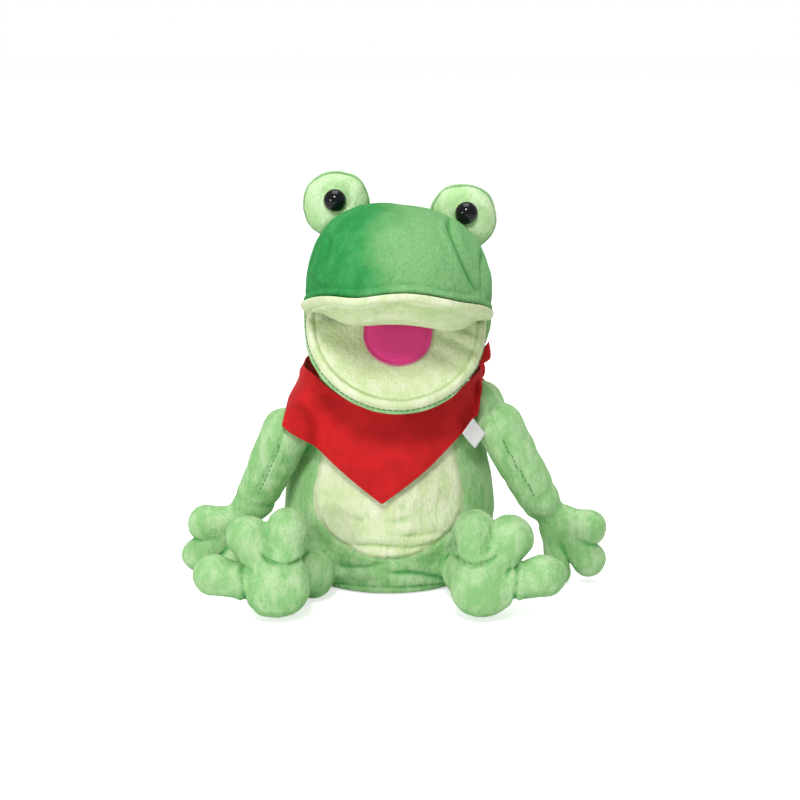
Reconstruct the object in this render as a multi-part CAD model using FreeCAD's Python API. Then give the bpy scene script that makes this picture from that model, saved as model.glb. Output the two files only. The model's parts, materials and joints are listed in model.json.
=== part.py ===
"""Plush frog hand puppet: a sleeve body with a talking head, tied bandana, stuffed arms and stuffed feet.

Row frame, millimetres: +Z up, the puppet faces -Y, and the origin is the centre of the hand opening, on the
surface that the puppet sits on. "left" and "right" are the puppet's own sides, so left is +X.
The fabric pieces are modelled at their sewn thickness, one solid per cut-and-sewn piece, and every soft limb
has its stuffing as a solid of its own. Pieces that move against each other meet on spheres round the joint.
"""

import FreeCAD
import Part

import math
import os

from FreeCAD import Matrix, Placement, Rotation, Vector

# ---------------------------------------------------------------- driving dimensions
PLUSH = 2.5  # thickness of the short-pile plush, backing and pile
LINING = 1.0  # thickness of the sleeve lining
BOARD = 2.0  # thickness of the mouth stiffeners
GAP = 0.5  # clearance between pieces that move against each other

# sleeve: height, half width, half depth, centre y
SLEEVE_RINGS = [
    (0, 60, 54, 0),
    (16, 71, 62, 0),
    (52, 80, 68, 0),
    (95, 73, 63, 1),
    (126, 62, 57, 3),
    (150, 53.2, 53.2, 6),
]
SLEEVE_TOP = SLEEVE_RINGS[-1][0]
HEM_HEIGHT = 18

# belly patch, in front view
BELLY_HALF_WIDTH, BELLY_MIDDLE, BELLY_DROP, BELLY_TOP_HALF_WIDTH = 57, 75, 44, 40

# bandana: height, inner half width, inner half depth, centre y
BANDANA_RINGS = [
    (72, 81, 70, 0),
    (105, 75.5, 67, 1),
    (136, 69, 62.5, 3),
    (162, 62, 60, 5),
]
BANDANA_CLOTH = 1.5
BANDANA_TIP = (-4, 74)
BANDANA_BAND_LOW, BANDANA_BAND_HIGH = 136, 160
BANDANA_CORNER, BANDANA_THROAT = 60, 25  # half widths at the outer and inner ends of the slanting top edge
BANDANA_SIDE = 67  # half width where the point's edges meet the band
BANDANA_DIP = 13  # the top edge is this much lower under the chin
KNOT_AT, KNOT_R = Vector(66.5, 40, 149), 8.5
LABEL_SIZE = (14, 0.8, 17)
LABEL_AT = Vector(56, -47.5, 128)  # middle of the label's sewn edge

NECK = Vector(0, 6, 166)  # centre of every head movement on the sleeve
NECK_R = 50
NECK_ZONE = (-19, 32)  # the neck's sleeve, below and above its centre
NECK_LINING_ZONE = (-15, 28)
HEAD_ROLL = 5.5  # the head leans to the puppet's left

MOUTH_HINGE = Vector(0, -52, 224)  # middle of the crease at the back of the mouth
PALATE_PITCH = 18  # the snout is raised
JAW_DROP = 48  # the lower jaw hangs open
CROWN = (70, 103, 76)  # half width, half length and height of the head above the palate
CROWN_BACK = 18  # the crown's middle lies this far behind the mouth hinge
FINGER_HOLLOW = (56, 91, 38)
JAW = (67, 87, 20)  # half width, length and depth of the lower jaw
THUMB_HOLLOW = (31, 71, 15)
JAW_TOP = -8  # the jaw's lining lies this far below the hinge line
PALATE_REAR = -7  # the mouth plates end this far in front of the hinge line
BOARD_INSET = 6  # from the mouth's edge to the edge of its stiffener
TEMPLE_SEAM = 58  # from the middle of the crown to each side seam
TONGUE_HALF_WIDTH, TONGUE_STRAIGHT, TONGUE_FELT = 25, 22, 2
NAPE_LOW = 14  # height of the nape's lower edge over the neck's centre
NAPE_FRONT = 13  # the nape starts this far behind the mouth hinge

EYE_BUMP_R, EYE_BUMP_HALF = 25.5, 15
EYE_BUMP_AT = Vector(46.5, -38, 283.5)
EYE_R, EYE_HEIGHT, SHANK_R, SHANK = 8, 6.5, 2, 8
EYE_RISE = 5  # the eye sits this far above the middle of its bump
EYE_SEAT = 1.2  # depth that the eye's foot sinks into the plush
WASHER_R, WASHER, WASHER_BACK = 7, 1.6, 1.7

ARM_TOP_R, WRIST_R = 17, 14
LEG_TOP_R, ANKLE_R = 17, 14
SEAM_BALL_R = 6  # gathered seam allowance inside the top of a limb
PALM_R, PALM_HALF = 16, 10
HEEL_R, HEEL_HALF = 24, 14
LIMB_PLUSH = 2.0

# each side: shoulder, wrist, palm centre, turn of the hand in its own plane, hip, ankle, heel centre
SIDES = {
    "left": {
        "sign": 1,
        "shoulder": Vector(82, -26.5, 121),
        "wrist": Vector(112, -30, 66),
        "palm": Vector(128, -30, 46.2),
        "hand_turn": 0,
        "hip": Vector(56, -64.5, 20),
        "ankle": Vector(64, -87, 31),
    },
    "right": {
        "sign": -1,
        "shoulder": Vector(-75, -39.5, 119.5),
        "wrist": Vector(-100, -32, 65.5),
        "palm": Vector(-114, -32, 45.6),
        "hand_turn": -12,
        "hip": Vector(-57, -64.5, 20),
        "ankle": Vector(-76, -87, 31),
    },
}
FOOT_LEAN = 14  # the sole faces forward and a little up
ANKLE_TO_SOLE = 22  # from the ankle's centre to the middle of the foot's thickness
WRIST_GAP, ANKLE_GAP = GAP, 1.5  # clearance between a limb's end and the hollow that it sits in

# finger and toe centre lines in the hand's or foot's own plane: outward and up, and the radius
FINGERS = [((-6, -4), (-1, -37), 9), ((7, -9), (22, -27), 12), ((4, 1), (21, -2), 13)]
TOES = [((-5, 12), (-5.5, 40), 15), ((9, 14), (21, 35), 16), ((18, 1), (45, 8), 15.5)]

X_AXIS, Y_AXIS, Z_AXIS = Vector(1, 0, 0), Vector(0, 1, 0), Vector(0, 0, 1)
HUGE = 600


# ---------------------------------------------------------------- solids
def save(name, shape):
    """Writes one node, as a single solid or a compound of separate solids."""
    solids = shape.Solids
    bad = [s for s in solids if not s.isValid() or s.Volume <= 0]
    print(f"{name:26s} solids {len(solids)}  volume {shape.Volume:10.0f}  bad {len(bad)}")
    whole = solids[0] if len(solids) == 1 else Part.makeCompound(solids)
    whole.exportStep(f"parts/{name}.step")


def ellipsoid(semi, centre=Vector(0, 0, 0)):
    """A three-axis ellipsoid."""
    ball = Part.makeSphere(semi[0])
    stretch = Matrix()
    stretch.scale(1, semi[1] / semi[0], semi[2] / semi[0])
    ball = ball.transformGeometry(stretch)
    ball.translate(centre)
    return ball


def shrunk(semi, by):
    return tuple(s - by for s in semi)


def taper(start, end, r_start, r_end):
    """A round-ended limb from start to end, whose radius changes evenly."""
    length = (end - start).Length
    first = Part.Arc(
        Vector(0, 0, -r_start),
        Vector(r_start * math.sqrt(0.5), 0, -r_start * math.sqrt(0.5)),
        Vector(r_start, 0, 0),
    ).toShape()
    side = Part.makeLine(Vector(r_start, 0, 0), Vector(r_end, 0, length))
    last = Part.Arc(
        Vector(r_end, 0, length),
        Vector(r_end * math.sqrt(0.5), 0, length + r_end * math.sqrt(0.5)),
        Vector(0, 0, length + r_end),
    ).toShape()
    middle = Part.makeLine(Vector(0, 0, length + r_end), Vector(0, 0, -r_start))
    limb = Part.Face(Part.Wire([first, side, last, middle])).revolve(Vector(0, 0, 0), Z_AXIS, 360)
    limb.Placement = Placement(start, Rotation(Z_AXIS, end - start))
    return limb


def ring_wire(height, half_width, half_depth, centre_y):
    """A horizontal ellipse, or a circle where both halves are equal."""
    centre = Vector(0, centre_y, height)
    if abs(half_width - half_depth) < 1e-6:
        return Part.Wire(Part.makeCircle(half_width, centre))
    return Part.Wire(Part.Ellipse(centre, half_width, half_depth).toShape())


def ring_loft(rings, inset):
    """A closed solid through horizontal rings, each drawn in by inset."""
    wires = [ring_wire(z, a - inset, b - inset, y) for z, a, b, y in rings]
    return Part.makeLoft(wires, True, False)


def slab(low, high):
    """A wide box between two heights."""
    box = Part.makeBox(2 * HUGE, 2 * HUGE, high - low)
    box.translate(Vector(-HUGE, -HUGE, low))
    return box


def half_space(point, normal):
    """A big box on the side of the plane that the normal points to."""
    box = Part.makeBox(2 * HUGE, 2 * HUGE, HUGE)
    box.translate(Vector(-HUGE, -HUGE, 0))
    box.Placement = Placement(point, Rotation(Z_AXIS, normal)).multiply(box.Placement)
    return box


def front_prism(points, y_from, y_to):
    """A prism along Y from an outline of (x, z) points."""
    corners = [Vector(x, y_from, z) for x, z in points]
    face = Part.Face(Part.makePolygon(corners + corners[:1]))
    return face.extrude(Vector(0, y_to - y_from, 0))


def dome_plate(semi, centre_y, low, high, front_of):
    """The plan of a semi-ellipse, extruded from low to high and cut off behind front_of."""
    a, b = max(semi[0], semi[1]), min(semi[0], semi[1])
    curve = Part.Ellipse(Vector(0, 0, 0), a, b)
    plate = Part.Face(Part.Wire(curve.toShape())).extrude(Vector(0, 0, high - low))
    if semi[1] > semi[0]:
        plate.rotate(Vector(0, 0, 0), Z_AXIS, 90)
    plate.translate(Vector(0, centre_y, low))
    return plate.common(half_space(Vector(0, front_of, 0), Vector(0, -1, 0)))


def spherical_zone(radius, thickness, low, high):
    """A band of a hollow sphere round the neck's centre."""
    ball = Part.makeSphere(radius, NECK).cut(Part.makeSphere(radius - thickness, NECK))
    return ball.common(slab(NECK.z + low, NECK.z + high))


# ---------------------------------------------------------------- placements
def head_roll():
    """The lean of the whole head about the neck's centre."""
    return Placement(Vector(0, 0, 0), Rotation(Y_AXIS, HEAD_ROLL), NECK)


PALATE_FRAME = Placement(MOUTH_HINGE, Rotation(X_AXIS, -PALATE_PITCH))
JAW_FRAME = Placement(MOUTH_HINGE, Rotation(X_AXIS, JAW_DROP))


def in_head(shape, frame=None):
    """Puts a piece drawn in the palate's or jaw's frame, or upright, into the leaning head."""
    placed = shape.copy()
    if frame is not None:
        placed.Placement = frame.multiply(placed.Placement)
    placed.Placement = head_roll().multiply(placed.Placement)
    return placed


# ---------------------------------------------------------------- sleeve body
def belly_outline():
    """A prism over the belly patch: a half ellipse below, straight sides drawing in above."""
    curve = Part.Ellipse(Vector(0, 0, 0), BELLY_HALF_WIDTH, BELLY_DROP)
    bottom = Part.Arc(curve, math.pi, 2 * math.pi).toShape()
    top_z = SLEEVE_TOP + 10 - BELLY_MIDDLE
    path = [
        Vector(BELLY_HALF_WIDTH, 0, 0),
        Vector(BELLY_TOP_HALF_WIDTH, top_z, 0),
        Vector(-BELLY_TOP_HALF_WIDTH, top_z, 0),
        Vector(-BELLY_HALF_WIDTH, 0, 0),
    ]
    face = Part.Face(Part.Wire([bottom] + Part.makePolygon(path).Edges))
    prism = face.extrude(Vector(0, 0, 100))
    prism.Placement = Placement(Vector(0, 0, BELLY_MIDDLE), Rotation(X_AXIS, 90))
    return prism


def sleeve():
    outer, inner = ring_loft(SLEEVE_RINGS, 0), ring_loft(SLEEVE_RINGS, PLUSH)
    skin = outer.cut(inner)
    front = skin.common(half_space(Vector(0, 0, 0), Vector(0, -1, 0)))
    save("back_panel", skin.common(half_space(Vector(0, 0, 0), Y_AXIS)))
    belly = belly_outline()
    save("belly_panel", front.common(belly))
    flanks = front.cut(belly)
    for side, entry in SIDES.items():
        save(f"{side}_flank_panel", flanks.common(half_space(Vector(0, 0, 0), X_AXIS * entry["sign"])))
    facing = inner.cut(ring_loft(SLEEVE_RINGS, 2 * PLUSH))
    save("hem_facing", facing.common(slab(0, HEM_HEIGHT)))
    lining = inner.cut(ring_loft(SLEEVE_RINGS, PLUSH + LINING))
    save("sleeve_lining", lining.common(slab(HEM_HEIGHT, SLEEVE_TOP)))


# ---------------------------------------------------------------- bandana
def bandana():
    cloth = ring_loft(BANDANA_RINGS, -BANDANA_CLOTH).cut(ring_loft(BANDANA_RINGS, 0))
    tip_x, tip_z = BANDANA_TIP
    low, high, corner, throat = BANDANA_BAND_LOW, BANDANA_BAND_HIGH, BANDANA_CORNER, BANDANA_THROAT
    wide = BANDANA_RINGS[0][1] + 10
    outline = [
        (-wide, high),
        (-corner, high),
        (-throat, high - BANDANA_DIP),
        (throat, high - BANDANA_DIP),
        (corner, high),
        (wide, high),
        (wide, low),
        (BANDANA_SIDE, low),
        (tip_x, tip_z),
        (-BANDANA_SIDE, low),
        (-wide, low),
    ]
    front = cloth.common(front_prism(outline, -100, 0))
    back = cloth.common(half_space(Vector(0, 0, 0), Y_AXIS)).common(slab(low, high))
    save("bandana", front.fuse(back))


def bandana_knot():
    """The knot at the puppet's left rear, with its two short ends."""
    ball = Part.makeSphere(KNOT_R, KNOT_AT)
    upper = front_prism([(0, -3), (11, 4), (10, 25), (3, 14)], -1, 1)
    upper.Placement = Placement(KNOT_AT, Rotation(Z_AXIS, 20))
    lower = front_prism([(0, 3), (16, -8), (7, -24), (-2, -8)], -1, 1)
    lower.Placement = Placement(KNOT_AT, Rotation(Z_AXIS, 55))
    save("bandana_knot", ball.fuse(upper).fuse(lower).removeSplitter())


def side_label():
    """A plain folded label, sewn to the bandana's left edge."""
    width, thickness, length = LABEL_SIZE
    plate = Part.makeBox(width, thickness, length)
    plate.translate(Vector(-width / 2, -thickness / 2, -length))
    turn = Rotation(Z_AXIS, 38).multiply(Rotation(Y_AXIS, -42))
    plate.Placement = Placement(LABEL_AT, turn)
    save("side_label", plate)


# ---------------------------------------------------------------- neck
def neck():
    save("neck_sleeve", spherical_zone(NECK_R, PLUSH, *NECK_ZONE))
    save("neck_lining", spherical_zone(NECK_R - PLUSH - GAP, LINING, *NECK_LINING_ZONE))


# ---------------------------------------------------------------- head
def crown_body(inset, height=None):
    """The solid half ellipsoid over the palate, drawn in by inset."""
    semi = shrunk(CROWN, inset) if height is None else height
    return ellipsoid(semi, Vector(0, CROWN_BACK, 0)).common(slab(0, HUGE))


def crown():
    skin = crown_body(0).cut(crown_body(PLUSH))
    middle = Part.makeBox(2 * TEMPLE_SEAM, 2 * HUGE, HUGE)
    middle.translate(Vector(-TEMPLE_SEAM, -HUGE, -1))
    save("crown_panel", in_head(skin.common(middle), PALATE_FRAME))
    for side, entry in SIDES.items():
        outside = half_space(Vector(TEMPLE_SEAM * entry["sign"], 0, 0), X_AXIS * entry["sign"])
        save(f"{side}_temple_panel", in_head(skin.common(outside), PALATE_FRAME))
    hollow = crown_body(0, FINGER_HOLLOW)
    pocket_outer = crown_body(0, shrunk(FINGER_HOLLOW, -LINING))
    save("crown_padding", in_head(crown_body(PLUSH).cut(pocket_outer), PALATE_FRAME))
    save("finger_pocket", in_head(pocket_outer.cut(hollow), PALATE_FRAME))


def nape():
    """Widens from the ring over the neck to the crown's rim. The mouth and throat stay open in front."""
    solids = []
    for inset in (0, PLUSH):
        radius = math.sqrt((NECK_R + 2 * GAP) ** 2 - NAPE_LOW**2) + PLUSH - inset
        ring = Part.makeCircle(radius, Vector(0, 0, 0))
        ring.rotate(Vector(0, 0, 0), Z_AXIS, 90)
        ring.translate(NECK + Vector(0, 0, NAPE_LOW))
        rim = Part.Ellipse(Vector(0, 0, 0), CROWN[1] - inset, CROWN[0] - inset).toShape()
        rim.rotate(Vector(0, 0, 0), Z_AXIS, 90)
        rim.translate(Vector(0, CROWN_BACK, 0))
        rim.Placement = PALATE_FRAME.multiply(rim.Placement)
        solids.append(Part.makeLoft([Part.Wire(ring), Part.Wire(rim)], True, True))
    wall = solids[0].cut(solids[1]).cut(Part.makeSphere(NECK_R + GAP, NECK))
    keep = half_space(Vector(0, NAPE_FRONT, 0), Vector(0, 1, 0.2))
    keep.Placement = PALATE_FRAME.multiply(keep.Placement)
    save("nape_panel", in_head(wall.common(keep)))


def mouth_plate(outline, centre_y, top, face_down):
    """A mouth stiffener and the plush lining that wraps its edge. face_down is true for the palate."""
    board_low, board_high = (top - BOARD, top)
    whole_low, whole_high = (top - BOARD - PLUSH, top) if face_down else (top - BOARD, top + PLUSH)
    inset = (outline[0] - BOARD_INSET, outline[1] - BOARD_INSET)
    board = dome_plate(inset, centre_y, board_low, board_high, PALATE_REAR)
    whole = dome_plate(outline, centre_y, whole_low, whole_high, PALATE_REAR)
    return board, whole.cut(board)


def palate():
    board, lining = mouth_plate(CROWN[:2], CROWN_BACK, 0, True)
    save("palate_board", in_head(board, PALATE_FRAME))
    save("palate_lining", in_head(lining, PALATE_FRAME))


def jaw_space(semi, top):
    """A half ellipsoid under the jaw plate, open behind along a slant that clears the nape."""
    body = ellipsoid(semi, Vector(0, 0, top)).common(slab(-HUGE, top))
    return body.common(half_space(Vector(0, PALATE_REAR, top + 4), Vector(0, -1, 1)))


def jaw():
    board_top = JAW_TOP - PLUSH
    under = board_top - BOARD
    board, lining = mouth_plate(JAW[:2], 0, board_top, False)
    save("jaw_board", in_head(board, JAW_FRAME))
    save("jaw_lining", in_head(lining, JAW_FRAME))
    skin = jaw_space(JAW, under).cut(jaw_space(shrunk(JAW, PLUSH), under))
    save("jaw_panel", in_head(skin, JAW_FRAME))
    hollow = jaw_space(THUMB_HOLLOW, under)
    pocket = jaw_space(shrunk(THUMB_HOLLOW, -LINING), under)
    save("jaw_padding", in_head(jaw_space(shrunk(JAW, PLUSH), under).cut(pocket), JAW_FRAME))
    save("thumb_pocket", in_head(pocket.cut(hollow), JAW_FRAME))
    bend = Vector(0, PALATE_REAR - 2 - TONGUE_STRAIGHT, JAW_TOP)
    tongue = Part.makeCylinder(TONGUE_HALF_WIDTH, TONGUE_FELT, bend)
    root = Part.makeBox(2 * TONGUE_HALF_WIDTH, TONGUE_STRAIGHT, TONGUE_FELT)
    root.translate(bend - Vector(TONGUE_HALF_WIDTH, 0, 0))
    save("tongue", in_head(tongue.fuse(root).removeSplitter(), JAW_FRAME))


# ---------------------------------------------------------------- eyes
def eye_bumps():
    crown_outside = crown_body(0)
    crown_outside.Placement = PALATE_FRAME.multiply(crown_outside.Placement)
    washers = []
    for side, entry in SIDES.items():
        at = Vector(EYE_BUMP_AT.x * entry["sign"], EYE_BUMP_AT.y, EYE_BUMP_AT.z)
        bump = (EYE_BUMP_R, EYE_BUMP_HALF, EYE_BUMP_R)
        inside = ellipsoid(shrunk(bump, LIMB_PLUSH), at)
        cover = ellipsoid(bump, at).cut(inside)
        filling = inside.cut(crown_outside)
        front_y = at.y - EYE_BUMP_HALF
        eye_z = at.z + EYE_RISE
        shank = Part.makeCylinder(SHANK_R, SHANK, Vector(at.x, front_y, eye_z), Y_AXIS)
        ball_r = (EYE_R**2 + EYE_HEIGHT**2) / (2 * EYE_HEIGHT)
        seat = Part.makeCylinder(EYE_R, EYE_SEAT, Vector(at.x, front_y, eye_z), Y_AXIS)
        dome = Part.makeSphere(ball_r, Vector(at.x, front_y - EYE_HEIGHT + ball_r, eye_z))
        dome = dome.common(half_space(Vector(0, front_y, 0), Vector(0, -1, 0)))
        eye = dome.fuse(seat).fuse(shank).removeSplitter()
        washer_at = Vector(at.x, front_y + LIMB_PLUSH + WASHER_BACK, eye_z)
        washer = Part.makeCylinder(WASHER_R, WASHER, washer_at, Y_AXIS)
        hole = Part.makeCylinder(SHANK_R, WASHER, washer_at, Y_AXIS)
        washers.append(in_head(washer.cut(hole)))
        behind = cover.common(half_space(Vector(0, at.y, 0), Vector(0, 1, 0)))
        before = cover.common(half_space(Vector(0, at.y, 0), Vector(0, -1, 0)))
        save(f"{side}_eye_bump_back", in_head(behind.cut(crown_outside)))
        save(f"{side}_eye_bump_front", in_head(before.cut(crown_outside).cut(seat).cut(shank)))
        save(f"{side}_eye_bump_stuffing", in_head(filling.cut(seat).cut(washer).cut(shank)))
        save(f"{side}_eye", in_head(eye))
    save("eye_washers", Part.makeCompound(washers))


# ---------------------------------------------------------------- limbs
def tube_limb(name, start, end, r_start, r_end):
    """A stuffed limb: its plush tube, its stuffing, and the gathered seam that ties it to the sleeve."""
    inner = taper(start, end, r_start - LIMB_PLUSH, r_end - LIMB_PLUSH)
    save(f"{name}_cover", taper(start, end, r_start, r_end).cut(inner))
    save(f"{name}_stuffing", inner.cut(Part.makeSphere(SEAM_BALL_R + GAP, start)))
    save(f"{name}_seam", Part.makeSphere(SEAM_BALL_R, start))


def lobes(radius, half, fingers, inset):
    """A flat stuffed pad with its fingers or toes, in its own plane: x outward, z up, y through it."""
    shape = ellipsoid(shrunk((radius, half, radius), inset))
    for (x1, z1), (x2, z2), r in fingers:
        shape = shape.fuse(taper(Vector(x1, 0, z1), Vector(x2, 0, z2), r - inset, r - inset))
    return shape.removeSplitter()


def pad_limb(name, faces, parts, sign, frame, joint, hollow_r):
    """A hand or foot: two sewn faces and the stuffing, hollowed round the joint that it turns on."""
    outer, filling = (lobes(*parts, inset) for inset in (0, LIMB_PLUSH))
    clear = Part.makeSphere(hollow_r, joint)
    cover = outer.cut(filling)
    front = half_space(Vector(0, 0, 0), Vector(0, -1, 0))
    pieces = [(faces[0], cover.common(front)), (faces[1], cover.cut(front)), ("stuffing", filling)]
    for piece, shape in pieces:
        placed = shape if sign > 0 else shape.mirror(Vector(0, 0, 0), X_AXIS)
        placed.Placement = frame.multiply(placed.Placement)
        save(f"{name}_{piece}", placed.cut(clear))


def limbs():
    for side, entry in SIDES.items():
        sign = entry["sign"]
        tube_limb(f"{side}_arm", entry["shoulder"], entry["wrist"], ARM_TOP_R, WRIST_R)
        hand = Placement(entry["palm"], Rotation(Y_AXIS, entry["hand_turn"] * sign))
        hand_parts = (PALM_R, PALM_HALF, FINGERS)
        hand_hollow = WRIST_R + WRIST_GAP
        pad_limb(f"{side}_hand", ("front", "back"), hand_parts, sign, hand, entry["wrist"], hand_hollow)
        tube_limb(f"{side}_leg", entry["hip"], entry["ankle"], LEG_TOP_R, ANKLE_R)
        lean = Rotation(X_AXIS, -FOOT_LEAN)
        heel = entry["ankle"] + lean.multVec(Vector(0, -ANKLE_TO_SOLE, 0))
        heel.x += 2 * sign
        heel.z = HEEL_R * math.cos(math.radians(FOOT_LEAN)) + 0.42
        foot = Placement(heel, lean)
        foot_parts = (HEEL_R, HEEL_HALF, TOES)
        foot_hollow = ANKLE_R + ANKLE_GAP
        pad_limb(f"{side}_foot", ("sole", "instep"), foot_parts, sign, foot, entry["ankle"], foot_hollow)


os.makedirs("parts", exist_ok=True)
sleeve()
bandana()
bandana_knot()
side_label()
neck()
crown()
nape()
palate()
jaw()
eye_bumps()
limbs()
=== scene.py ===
"""Looks of the plush frog hand puppet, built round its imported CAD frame."""
import json
import math

import bmesh
import bpy
import numpy as np
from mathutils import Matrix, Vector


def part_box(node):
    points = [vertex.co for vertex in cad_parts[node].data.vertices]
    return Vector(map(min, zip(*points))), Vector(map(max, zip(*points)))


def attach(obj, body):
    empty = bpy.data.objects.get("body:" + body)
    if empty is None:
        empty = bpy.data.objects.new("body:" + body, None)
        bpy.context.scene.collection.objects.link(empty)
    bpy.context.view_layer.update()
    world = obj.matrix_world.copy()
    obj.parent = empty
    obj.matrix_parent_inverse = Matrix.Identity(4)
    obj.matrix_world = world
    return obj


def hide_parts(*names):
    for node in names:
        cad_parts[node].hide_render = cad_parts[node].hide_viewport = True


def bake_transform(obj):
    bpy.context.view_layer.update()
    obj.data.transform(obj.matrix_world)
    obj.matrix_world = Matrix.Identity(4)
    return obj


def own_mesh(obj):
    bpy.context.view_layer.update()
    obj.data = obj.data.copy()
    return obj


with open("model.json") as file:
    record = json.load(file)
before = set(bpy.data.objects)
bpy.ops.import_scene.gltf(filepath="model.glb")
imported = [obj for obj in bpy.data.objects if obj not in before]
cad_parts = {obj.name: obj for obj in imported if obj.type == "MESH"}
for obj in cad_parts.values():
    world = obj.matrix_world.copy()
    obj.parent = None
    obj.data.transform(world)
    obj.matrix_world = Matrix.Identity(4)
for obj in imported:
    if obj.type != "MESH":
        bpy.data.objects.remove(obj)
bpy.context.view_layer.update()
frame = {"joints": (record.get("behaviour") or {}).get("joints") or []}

import openvdb
from mathutils import Matrix, Vector
from mathutils.bvhtree import BVHTree

MM = 0.001
JOINTS = {j["name"]: j for j in frame["joints"]}
SIDES = {"left": 1.0, "right": -1.0}
X, Y, Z = np.eye(3)


def mm(*values):
    """A point or a size given in millimetres."""
    return np.array(values) * MM


# ---------------------------------------------------------------- places read from the frame
def pivot(joint):
    """The point that a joint turns about, in metres."""
    return np.array(JOINTS[joint]["pos_m"], float)


def corners(node):
    low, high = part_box(node)
    return np.array(low), np.array(high)


NECK = pivot("head_turn")
HINGE = pivot("jaw_open")
ACROSS = np.array(JOINTS["jaw_open"]["axis"], float)  # the head's own left, which leans down a little
HEAD = np.stack([ACROSS, Y, np.cross(ACROSS, Y)])  # rows: the leaning head's own axes


def tilted(degrees):
    """Rows: the head's axes turned about its own left, the snout going down as degrees grow."""
    c, s = math.cos(math.radians(degrees)), math.sin(math.radians(degrees))
    return np.array([[1, 0, 0], [0, c, s], [0, -s, c]]) @ HEAD


PALATE_PITCH, JAW_DROP = -18.0, 48.0
PALATE, JAW = tilted(PALATE_PITCH), tilted(JAW_DROP)


def into(axes, p, origin=HINGE):
    """Points of the row frame, in a tilted frame at origin."""
    return (p - origin) @ axes.T


def out_of(axes, q, origin=HINGE):
    return np.asarray(q) @ axes + origin


# ---------------------------------------------------------------- fields: negative inside, metres
def lerp(a, b, t):
    return a + (b - a) * t


def smooth(t):
    t = np.clip(t, 0, 1)
    return t * t * (3 - 2 * t)


def ramp(d, start, over):
    """Rises from 0 to 1 as d goes from start through the next few mm."""
    return smooth((d - start * MM) / (over * MM))


def fade(d, end, over):
    """Falls from 1 to 0 in the last few mm before d reaches end."""
    return smooth((end * MM - d) / (over * MM))


def blunt_min(a, b, k):
    """The union of two fields, with a fillet of size k."""
    h = np.clip(0.5 + 0.5 * (b - a) / k, 0, 1)
    return lerp(b, a, h) - k * h * (1 - h)


def blunt_max(a, b, k):
    return -blunt_min(-a, -b, k)


def norm(v):
    return np.linalg.norm(v, axis=1)


def ball(p, centre, r):
    return norm(p - centre) - r


def oval(p, centre, semi, power=2.0):
    """An ellipsoid, or a boxier one with a higher power."""
    q = np.abs((p - centre) / semi)
    k = (q**power).sum(1) ** (1 / power)
    return (k - 1) * min(semi)


def limb(p, a, b, ra, rb):
    """A round-ended taper from a to b."""
    d = b - a
    t = np.clip((p - a) @ d / (d @ d), 0, 1)
    return norm(p - a - t[:, None] * d) - lerp(ra, rb, t)


HASH_PRIMES = np.array([73856093, 19349663, 83492791])


def lattice_noise(p, size, seed):
    """Smooth noise from -1 to 1 whose lumps are about size across."""
    table = np.random.default_rng(seed).uniform(-1, 1, 4096)
    q = p / size
    base = np.floor(q).astype(np.int64)
    t = smooth(q - base)
    total = np.zeros(len(p))
    for corner in range(8):
        offset = np.array([corner & 1, corner >> 1 & 1, corner >> 2 & 1])
        cell = base + offset
        a, b, c = (cell * HASH_PRIMES).T
        total += np.where(offset, t, 1 - t).prod(1) * table[(a ^ b ^ c) & 4095]
    return total


def lumps(p, *layers):
    """Layers of noise, each with its height and size in mm and its seed."""
    return sum(height * MM * lattice_noise(p, size * MM, seed) for height, size, seed in layers)


def ridge(d, width):
    """1 on a line, falling to 0 a few widths away from it."""
    return np.exp(-((d / width) ** 2))


def crease(d, width, depth):
    """The relief of a fold: a groove with a soft ridge on each side."""
    return depth * (0.45 * ridge(np.abs(d) - 1.9 * width, width) - ridge(d, 0.75 * width))


# ---------------------------------------------------------------- meshes
def slopes(field, p, step=0.2 * MM):
    g = np.stack([field(p + step * axis) - field(p - step * axis) for axis in (X, Y, Z)], 1)
    return g / (2 * step)


def grow(field, low, high, cell=1.5 * MM, relief=None):
    """Points and quads of the surface where field is zero, then moved along its normal by relief(points)."""
    low, high = np.asarray(low, float), np.asarray(high, float)
    counts = np.ceil((high - low) / cell).astype(int) + 1
    axes = [low[i] + cell * np.arange(counts[i]) for i in range(3)]
    grid = np.stack(np.meshgrid(*axes, indexing="ij"), -1).reshape(-1, 3)
    values = field(grid).reshape(counts)
    volume = openvdb.FloatGrid(1.0)
    volume.copyFromArray(values.astype(np.float32))
    points, triangles, quads = volume.convertToPolygons(0.0, 0.0)
    p = points.astype(float) * cell + low
    for _ in range(3):
        g = slopes(field, p)
        p = p - (field(p) / np.maximum((g**2).sum(1), 0.05))[:, None].clip(-cell, cell) * g
    if relief is not None:
        g = slopes(field, p)
        n = g / norm(g)[:, None]
        p = p + relief(p)[:, None] * n
    faces = [tuple(int(i) for i in f) for f in quads] + [tuple(int(i) for i in f) for f in triangles]
    return p, faces


def values_of(things, attribute, width, kind=np.float32):
    """One attribute of every vertex or edge, a row each."""
    values = np.empty(len(things) * width, kind)
    things.foreach_get(attribute, values)
    return values.reshape(-1, width)


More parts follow.
